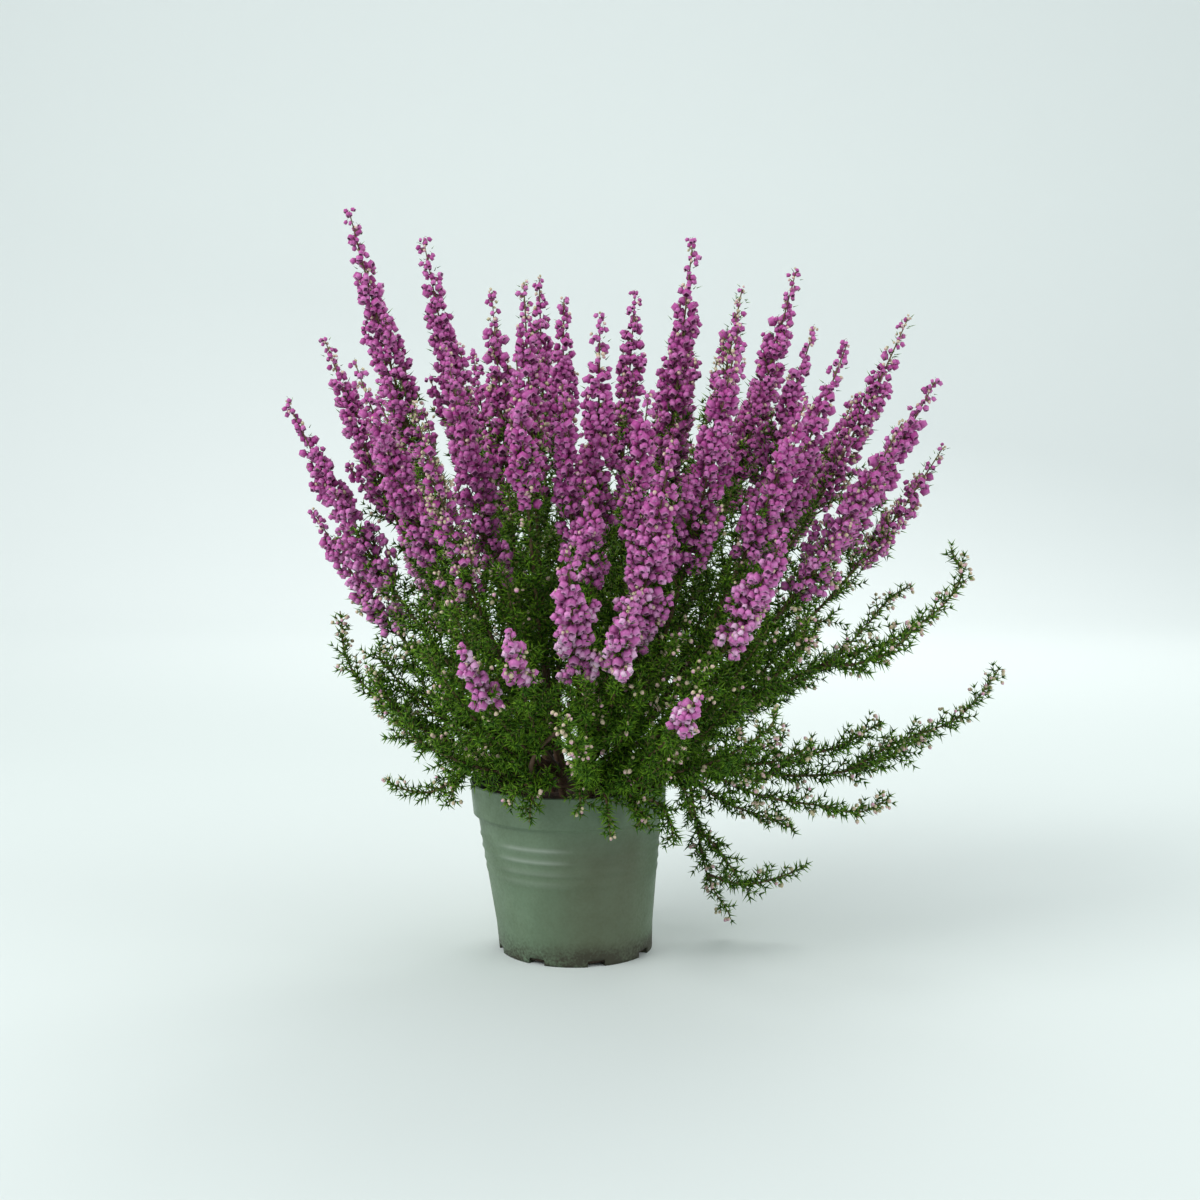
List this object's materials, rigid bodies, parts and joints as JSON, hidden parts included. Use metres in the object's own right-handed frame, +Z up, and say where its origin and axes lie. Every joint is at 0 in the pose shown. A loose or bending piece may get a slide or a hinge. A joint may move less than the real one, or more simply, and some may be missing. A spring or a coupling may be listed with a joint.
{
  "type": "potted cape heath",
  "caption": "Bushy heath with upright spires of tiny magenta bells and trailing needle-leaved sprays, rooted in a round plastic nursery pot.",
  "frame": {"origin": "centre of the pot's foot, on the plane it stands on", "axes": "+Z up; -Y towards the viewer of the front; +X to the front view's right"},
  "size_m": [0.3822, 0.2893, 0.3902],
  "materials": {
    "pot": "matte, dusty green",
    "soil": "moist crumbly peat",
    "leafy": "brown woody stems under green needles",
    "bloom": "satin petals"
  },
  "bodies": {
    "root": {"pot": "pot", "soil": "soil", "stem_1": "leafy", "stem_2": "leafy", "stem_3": "leafy", "stem_4": "leafy", "stem_5": "leafy", "stem_6": "leafy", "stem_7": "leafy", "spray_front": "leafy", "spray_left": "leafy", "spray_right_hang": "leafy", "spray_right_high": "leafy", "spray_right_low": "leafy", "spire_1_1": "bloom", "spire_1_2": "bloom", "spire_1_3": "bloom", "spire_1_4": "bloom", "spire_1_5": "bloom", "spire_1_6": "bloom", "spire_2_1": "bloom", "spire_2_2": "bloom", "spire_2_3": "bloom", "spire_2_4": "bloom", "spire_3_1": "bloom", "spire_3_2": "bloom", "spire_3_3": "bloom", "spire_3_4": "bloom", "spire_3_5": "bloom", "spire_3_6": "bloom", "spire_3_7": "bloom", "spire_4_1": "bloom", "spire_4_2": "bloom", "spire_4_3": "bloom", "spire_4_4": "bloom", "spire_4_5": "bloom", "spire_5_1": "bloom", "spire_5_2": "bloom", "spire_5_3": "bloom", "spire_5_4": "bloom", "spire_5_5": "bloom", "spire_5_6": "bloom", "spire_5_7": "bloom", "spire_6_1": "bloom", "spire_6_2": "bloom", "spire_6_3": "bloom", "spire_6_4": "bloom", "spire_6_5": "bloom", "spire_6_6": "bloom", "spire_6_7": "bloom", "spire_6_8": "bloom", "spire_7_1": "bloom", "spire_7_2": "bloom", "spire_7_3": "bloom", "spire_7_4": "bloom", "spire_7_5": "bloom", "spire_7_6": "bloom", "spire_7_7": "bloom", "spire_7_8": "bloom", "spire_7_9": "bloom"}
  },
  "joints": []
}
